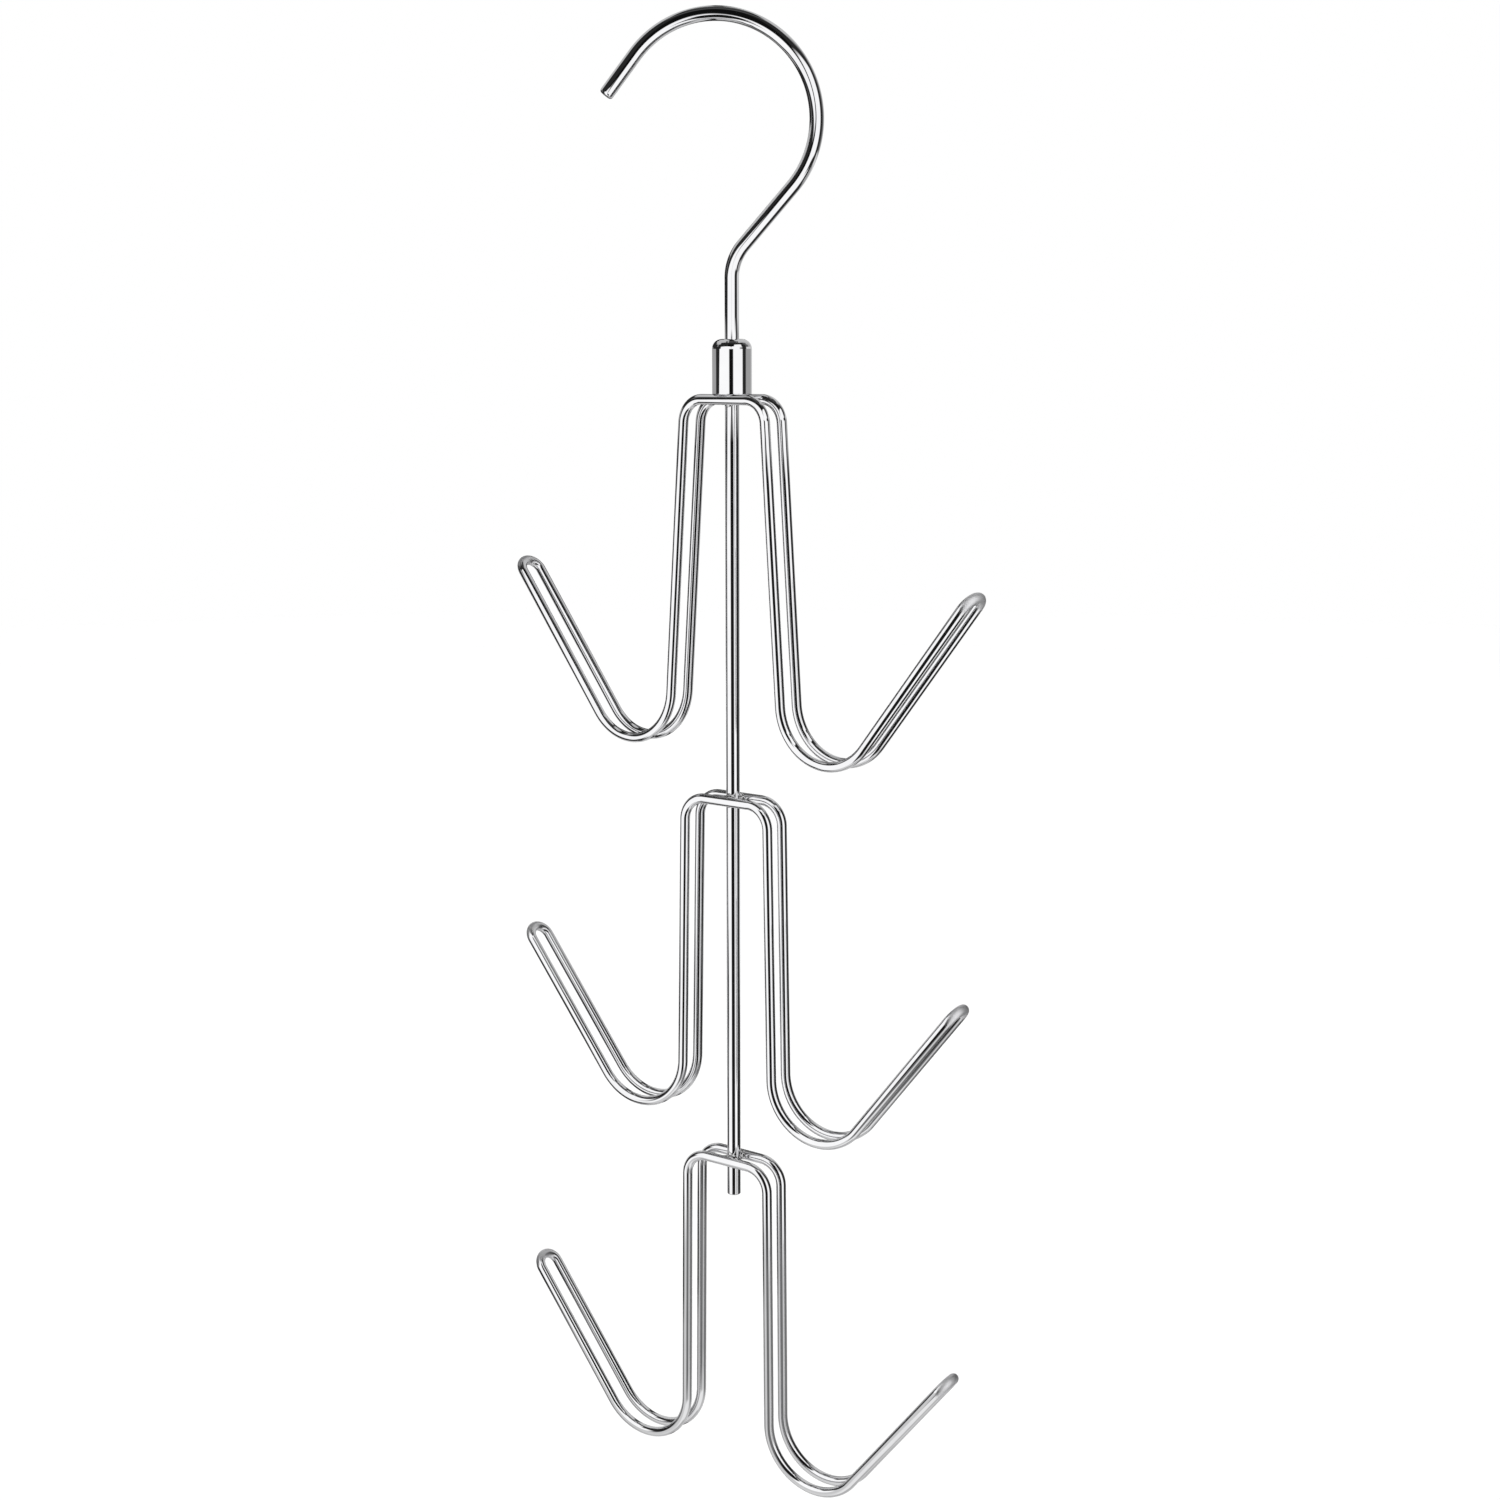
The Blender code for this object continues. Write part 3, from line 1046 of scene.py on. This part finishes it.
@dataclass
class WeldNugget:
    """The metal that joins the rod to one strand of a loop."""

    tier: Tier
    strand: Strand
    level: float
    rod_radius: float = ROD_RADIUS
    wire_radius: float = LOOP_WIRE_RADIUS
    strand_offset: float = STRAND_OFFSET
    blend: float = 0.0021
    sink: float = 0.00003
    reach: Triple = (0.0026, 0.0019, 0.0022)
    lump: float = 0.00012
    lump_waves: Triple = (2900.0, 3300.0, 900.0)
    lump_phase: float = 46.8
    ray_steps: int = 240
    rings: int = 36
    sides: int = 56

    def distance(self, points: Array) -> Array:
        """Measure how far points lie outside the smoothly joined rod and strand.

        The two distances are those to the rod and to the strand. Their smaller one is
        reduced by a quarter of the blend width times the square of how nearly equal
        the two are, which fills the corner between them.

        Args:
            points: the points, in the weld's own frame.

        Returns:
            The distances, negative inside.
        """
        to_rod = np.hypot(points[..., 0], points[..., 1]) - self.rod_radius
        to_strand = np.hypot(points[..., 1] + self.strand_offset, points[..., 2]) - self.wire_radius
        near = np.maximum(self.blend - np.abs(to_rod - to_strand), 0.0) / self.blend
        return np.minimum(to_rod, to_strand) - near**2 * self.blend / 4

    def skin(self) -> Skin:
        """Find the nugget's surface along rays from the seam.

        Rays leave the middle of the seam on a grid of two angles. On each, the surface
        lies where the joined distance first turns positive, or at the ellipsoid of the
        nugget's reach if that comes first. Slow sines of the place add lumps.

        Returns:
            The surface, in its place on the rod.
        """
        polar = np.linspace(0.0, math.pi, self.rings + 2)[1:-1, None]
        around = full_turn(self.sides)[None, :]
        parts = (np.sin(polar) * np.cos(around), np.cos(polar), -np.sin(polar) * np.sin(around))
        rays = np.stack(np.broadcast_arrays(*parts), axis=-1)
        seam = np.array([0.0, -(self.rod_radius + self.strand_offset - self.wire_radius) / 2, 0.0])
        limit = 1.0 / np.linalg.norm(rays / self.reach, axis=-1)
        share = np.linspace(0.0, 1.0, self.ray_steps + 1)
        trail = seam + rays[..., None, :] * (limit[..., None] * share)[..., None]
        outside = self.distance(trail) + self.sink > 0.0
        found = np.where(outside.any(axis=-1), outside.argmax(axis=-1), self.ray_steps)
        far = limit * share[found]
        place = seam + rays * far[..., None]
        sideways, upwards, by_tier = self.lump_waves
        wobble = np.sin(place[..., 0] * sideways + self.lump_phase)
        wobble = wobble * np.sin(place[..., 2] * upwards + self.tier.drop * by_tier)
        far = far + self.lump * wobble * (far / limit.max()) ** 2
        rings = seam + rays * far[..., None]
        poles = [seam + np.array([0.0, side * self.reach[1], 0.0]) for side in (1, -1)]
        skin = skinned(rings, rings, False, *poles)
        skin.vertices = about_axis(skin.vertices, self.tier.turn + self.strand.turn)
        skin.vertices[:, 2] += self.level - self.tier.drop
        return skin

    def build(self, material: Material) -> None:
        """Lay the nugget and plate it.

        Args:
            material: the plating, which all welds share.
        """
        tier, strand = self.tier.label, self.strand.label
        piece = put_piece(f"{tier}_{strand}_weld_bead", self.skin(), WELD_EDGE, material)
        hand_over(piece, "hanger", "weld_chrome", f"{tier}_tier_{strand}_weld")


# ---- Studio ----


@dataclass(frozen=True)
class Patch:
    """A part of the tent's wall that has one light, with soft edges.

    Angles are degrees round from the camera's side, growing to the right of the
    image, and heights are metres. A share under one lets what lies below show.
    """

    level: float
    left: float = -200.0
    right: float = 200.0
    foot: float = -2.0
    top: float = 2.0
    soft_angle: float = 4.0
    soft_height: float = 0.005
    share: float = 1.0

    def paint(self, sheet: Sheet, light: Signal, around: Socket, height: Socket) -> Socket:
        """Paint the patch over the light so far.

        Args:
            sheet: the tree that is being laid out.
            light: the light so far.
            around: angle round.
            height: height.

        Returns:
            The light with the patch.
        """
        across = sheet.inside(around, self.left, self.right, self.soft_angle)
        shown = sheet.math("MULTIPLY", across, self.upright(sheet, around, height))
        return sheet.mixed(light, self.level, sheet.math("MULTIPLY", shown, self.share))

    def upright(self, sheet: Sheet, around: Socket, height: Socket) -> Socket:
        """Return one where the height lies within the patch, and nought elsewhere."""
        return sheet.inside(height, self.foot, self.top, self.soft_height)


@dataclass(frozen=True)
class ArchedPanel(Patch):
    """A patch whose top is an arch.

    The arch is the crest's height less a fall that grows with the square of the angle
    away from the crest, which is given as (angle, height).
    """

    crest: Span = (0.0, 0.0)
    fall: float = 0.0

    def upright(self, sheet: Sheet, around: Socket, height: Socket) -> Socket:
        """Find what lies under the arch.

        Args:
            sheet: the tree that is being laid out.
            around: angle round.
            height: height.

        Returns:
            One under the arch and nought above it, with a soft edge.
        """
        away = sheet.math("SUBTRACT", around, self.crest[0])
        square = sheet.math("MULTIPLY", away, away)
        arch = sheet.math("MULTIPLY_ADD", square, -self.fall, self.crest[1])
        below = sheet.math("SUBTRACT", arch, height)
        return sheet.ranged(below, (-self.soft_height, self.soft_height))


# Lights of the tent's parts, from its panels to its darkest cloth
WHITE = 1.22
PAPER = 1.0
GROUND = 0.85
PALE = 0.80
REAR = 0.65
BEYOND = 0.62
GREY = 0.46
SHADE = 0.42
NEAR_GROUND = 0.34
HALF_DARK = 0.13
DARK = 0.025
DEEP_DARK = 0.012
BLACK = 0.006

# The middle of the slot between the panels, and how near to it they come, in degrees
SLOT = -4.0
SEAM = 0.4

# The heights that show in the stem and in the ferrule, and the highest before the rod
STEM_BAND = {"foot": -0.0785, "top": -0.058, "soft_angle": 3.0, "soft_height": 0.003}
FERRULE_BAND = {"foot": -0.112, "top": -0.08, "soft_angle": 3.0}
FERRULE_TOP = -0.0815
ROD_TOP = -0.113


def level_axes() -> tuple[Vector, Vector]:
    """Return the level directions towards the camera and to its right."""
    toward = -Vector((CAMERA_FORWARD[0], CAMERA_FORWARD[1], 0.0)).normalized()
    return toward, Vector((-toward.y, toward.x, 0.0))


def at_slot(level: float, half_width: float, **limits: float) -> Patch:
    """Return a patch that reaches evenly to both sides of the slot's middle."""
    return Patch(level, SLOT - half_width, SLOT + half_width, **limits)


@dataclass(frozen=True)
class LightTent:
    """The near surroundings, which only metal shows.

    A round wall stands about the hanger, a point of it being (radius times cosine,
    radius times sine, height). Its light is a stack of patches: two white panels with
    arched tops, a dark slot between them for the lens, dark ends beside them, dark
    overhead, a pale grey rear with a dark seam, and a pale ground.
    """

    radius: float = 0.14
    foot: float = -0.80
    top: float = 0.45
    levels: int = 40
    sides: int = 180
    patches: tuple[Patch, ...] = (
        # Beyond: grey, lighter above and pale below.
        Patch(BEYOND, foot=0.0, soft_height=0.05),
        Patch(PALE, top=-0.28, soft_height=0.04),
        # The dark ends, wider towards the foot, and the ceiling.
        Patch(HALF_DARK, -93.0, 74.0),
        Patch(HALF_DARK, -93.0, 116.0, top=0.13, soft_height=0.04),
        Patch(DARK, -90.0, 74.0),
        Patch(DARK, -90.0, 94.0, top=0.13, soft_height=0.04),
        Patch(DARK, -125.0, 94.0, top=-0.05, soft_height=0.015),
        Patch(DARK, -128.0, 122.0, top=ROD_TOP),
        Patch(DARK, 86.0, 150.0, foot=-0.47, top=-0.31, soft_height=0.015),
        Patch(HALF_DARK, -75.0, 75.0, foot=0.23, soft_angle=8.0, soft_height=0.02),
        # Dark behind on the left, which draws a line along the top of each crossbar.
        Patch(DARK, -176.0, -98.0, foot=-0.079, top=0.0),
        Patch(DARK, -176.0, -137.0, foot=-0.20, top=-0.112),
        # Grey beside the ferrule.
        Patch(SHADE, right=-104.0, **FERRULE_BAND),
        Patch(SHADE, left=87.0, **FERRULE_BAND),
        # The dark backing of the slot, and the two panels.
        Patch(BLACK, -26.0, 20.0, top=0.175, soft_height=0.025),
        ArchedPanel(WHITE, -90.0, SLOT - SEAM, soft_angle=2.5, crest=(-28.0, 0.0), fall=0.000040),
        ArchedPanel(WHITE, SLOT + SEAM, 63.0, soft_angle=2.5, crest=(52.0, 0.060), fall=0.000028),
        # The slot: narrow before the ferrule, wide before the rod, and a notch on top.
        at_slot(BLACK, 11.5, top=FERRULE_TOP, soft_angle=2.0, soft_height=0.002),
        at_slot(DEEP_DARK, 26.0, top=ROD_TOP, soft_angle=2.5),
        at_slot(BLACK, 4.0, foot=-0.045, top=0.175, soft_angle=2.5, soft_height=0.01),
        # Before the rod the left panel ends sooner, and above that later.
        Patch(DARK, -94.0, -82.0, foot=-0.335, top=-0.30, soft_height=0.01),
        Patch(WHITE, -97.0, -84.0, foot=-0.285, top=-0.135, soft_angle=2.5, soft_height=0.012),
        # Beside the stem the right panel ends sooner.
        Patch(DARK, 46.0, 88.0, **STEM_BAND),
        Patch(PALE, 92.0, 140.0, **STEM_BAND),
        # The ground.
        Patch(NEAR_GROUND, top=-0.402, soft_height=0.012, share=0.55),
        Patch(GROUND, top=-0.52, soft_height=0.04, share=0.6),
        Patch(PAPER, -48.0, 45.0, foot=-0.74, top=-0.49, soft_angle=8.0, soft_height=0.015),
        # A pale grey rear, with a dark seam.
        Patch(REAR, left=140.0, soft_angle=3.0),
        Patch(REAR, right=-140.0, top=-0.20, soft_angle=3.0),
        Patch(REAR, right=-140.0, foot=0.0, soft_angle=3.0),
        Patch(DARK, left=175.0, soft_angle=1.5),
        Patch(DARK, right=-175.0, soft_angle=1.5),
        # Dark overhead, and low on the left.
        Patch(DARK, foot=0.31, soft_height=0.03),
        Patch(DARK, -146.0, -84.0, foot=-0.435, top=-0.385, soft_height=0.006),
    )

    def material(self) -> Material:
        """Paint the wall.

        Returns:
            The wall's material.
        """
        material, sheet = new_finish("light_tent")
        place = sheet.place()
        ahead, side = (sheet.reach(place, axis) for axis in level_axes())
        around = sheet.math("MULTIPLY", sheet.math("ARCTAN2", side, ahead), math.degrees(1.0))
        height = sheet.add("ShaderNodeSeparateXYZ", in_0=place).outputs["Z"]
        light: Signal = GREY
        for patch in self.patches:
            light = patch.paint(sheet, light, around, height)
        sheet.show(sheet.add("ShaderNodeEmission", Strength=light).outputs[0])
        return material

    def build(self) -> None:
        """Stand the wall round the hanger, where only metal sees it."""
        heights = np.linspace(self.foot, self.top, self.levels)
        rings = swept(np.stack([np.full(self.levels, self.radius), heights], axis=-1), self.sides)
        wall = put_piece("light_tent", skinned(rings, rings), NO_EDGE, self.material())
        wall.visible_camera = wall.visible_diffuse = wall.visible_transmission = False
        wall.visible_shadow = wall.visible_volume_scatter = False


@dataclass
class Studio:
    """A pale studio: white to the camera, even to the floor, a light tent to metal."""

    floor_height: float = -0.60
    floor_radii: Span = (0.02, 4.0)
    floor_rings: int = 24
    floor_sides: int = 96
    floor_tones: tuple[Triple, Triple] = ((0.90, 0.90, 0.90), (0.92, 0.92, 0.92))
    floor_noise: Noise = Noise(40.0, 3.0)
    floor_glow: float = 0.12
    floor_fade: Span = (1.6, 3.8)
    plain_level: float = 0.72
    grey_level: float = 0.55
    dark_level: float = 0.06
    dark_edge: Span = (-0.32, -0.12)
    horizon: Span = (-0.1, 0.1)
    sun_level: float = 0.667
    sun_width: float = math.radians(40.0)
    tent: LightTent = LightTent()

    def build_world(self) -> None:
        """Light the scene.

        The world is white to the camera and plain to the floor. To metal it is what
        shows beyond the tent's rims: grey below and at the rear, dark above.
        """
        world = bpy.data.worlds.new("pale_studio")
        world.use_nodes = True
        bpy.context.scene.world = world
        sheet = Sheet(world.node_tree)
        path = sheet.add("ShaderNodeLightPath").outputs
        place = sheet.add("ShaderNodeTexCoord").outputs["Generated"]
        ahead = sheet.reach(place, level_axes()[0])
        up = sheet.add("ShaderNodeSeparateXYZ", in_0=place).outputs["Z"]
        over = sheet.ranged(ahead, self.dark_edge, (self.grey_level, self.dark_level))
        seen = sheet.mixed(self.grey_level, over, sheet.ranged(up, self.horizon))
        white = sheet.math("MAXIMUM", path["Is Camera Ray"], path["Is Transmission Ray"])
        glossy = sheet.math("MULTIPLY", path["Is Glossy Ray"], seen)
        other = sheet.math("MAXIMUM", white, path["Is Glossy Ray"])
        plain = sheet.math("SUBTRACT", 1.0, other)
        level = sheet.math("MULTIPLY_ADD", plain, self.plain_level, glossy)
        strength = sheet.math("ADD", level, white)
        lit = sheet.add("ShaderNodeBackground", Color=(1.0, 1.0, 1.0, 1.0), Strength=strength)
        sheet.show(lit.outputs[0], "ShaderNodeOutputWorld")

    def build_lamps(self) -> None:
        """Hang two wide, soft suns before the hanger, halfway up to its left and right.

        Their height over the hanger is as great as their distance from its axis, which
        is the square root of two where they stand one forwards and one aside.
        """
        toward, aside = level_axes()
        for name, share in (("left", -1.0), ("right", 1.0)):
            lamp = bpy.data.lights.new(name + "_soft_sun", "SUN")
            lamp.energy = self.sun_level
            lamp.angle = self.sun_width
            holder = bpy.data.objects.new(lamp.name, lamp)
            ray = -(toward + aside * share + Vector((0.0, 0.0, math.sqrt(2.0))))
            holder.rotation_euler = ray.to_track_quat("-Z", "Y").to_euler()
            holder.visible_glossy = False
            bpy.context.scene.collection.objects.link(holder)

    def floor_material(self) -> Material:
        """Mix a pale floor that reaches white to the camera and keeps its shadow.

        Returns:
            The floor's material, which fades out towards its rim.
        """
        material, sheet = new_finish("pale_floor")
        place = sheet.place()
        tone = sheet.blended(sheet.noise(place, self.floor_noise), *self.floor_tones)
        matt = sheet.add("ShaderNodeBsdfDiffuse", Color=tone)
        glow = sheet.add("ShaderNodeEmission", Color=(1.0, 1.0, 1.0, 1.0), Strength=self.floor_glow)
        lit = sheet.add("ShaderNodeAddShader", in_0=matt.outputs[0], in_1=glow.outputs[0])
        clear = sheet.add("ShaderNodeBsdfTransparent")
        edge = sheet.ranged(sheet.length(place), self.floor_fade)
        surfaces = {"in_1": lit.outputs[0], "in_2": clear.outputs[0]}
        sheet.show(sheet.add("ShaderNodeMixShader", in_0=edge, **surfaces).outputs[0])
        return material

    def build_floor(self) -> None:
        """Lay the floor.

        It is level rings from the rim inwards, round which a point is a radius times
        (cosine, less the sine), so that the disc faces up.
        """
        radii = np.linspace(*self.floor_radii, self.floor_rings)[::-1]
        heights = np.full(self.floor_rings, self.floor_height)
        rings = swept(np.stack([radii, heights], axis=-1), self.floor_sides) * (1.0, -1.0, 1.0)
        skin = skinned(rings, rings, end=np.array([0.0, 0.0, self.floor_height]))
        floor = put_piece("pale_floor", skin, NO_EDGE, self.floor_material())
        floor.visible_glossy = False

    def build(self) -> None:
        """Build the surroundings."""
        self.build_world()
        self.build_lamps()
        self.build_floor()
        self.tent.build()
        LOG.info("studio: world, two suns, the floor and the tent")


def place_camera() -> None:
    """Put the camera where the photograph was taken from."""
    data = bpy.data.cameras.new("photo_camera")
    data.lens = CAMERA_LENS_MM
    data.sensor_width = CAMERA_SENSOR_MM
    data.clip_start = CAMERA_NEAR
    camera = bpy.data.objects.new("photo_camera", data)
    forward, up = Vector(CAMERA_FORWARD).normalized(), Vector(CAMERA_UP).normalized()
    right = forward.cross(up).normalized()
    turned_to = Matrix((right, up, -forward)).transposed().to_4x4()
    camera.matrix_world = Matrix.Translation(CAMERA_PLACE) @ turned_to
    bpy.context.scene.collection.objects.link(camera)
    bpy.context.scene.camera = camera


def main() -> None:
    """Build the hanger and its studio."""
    logging.basicConfig(level=logging.INFO, format="%(name)s %(message)s")
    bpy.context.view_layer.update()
    swivel = Swivel()
    hook = SwivelHook(swivel)
    level = -hook.seat_height()
    place_camera()
    hook.build()
    SwivelFerrule(swivel, level).build()
    CentreRod().build()
    for tier in Tier:
        TierLoop(tier, level).build()
    weld = PlatedWeld().material()
    for tier in Tier:
        for strand in Strand:
            WeldNugget(tier, strand, level).build(weld)
    Studio().build()
    bpy.context.scene.view_settings.view_transform = "Standard"


if __name__ == "__main__":
    main()
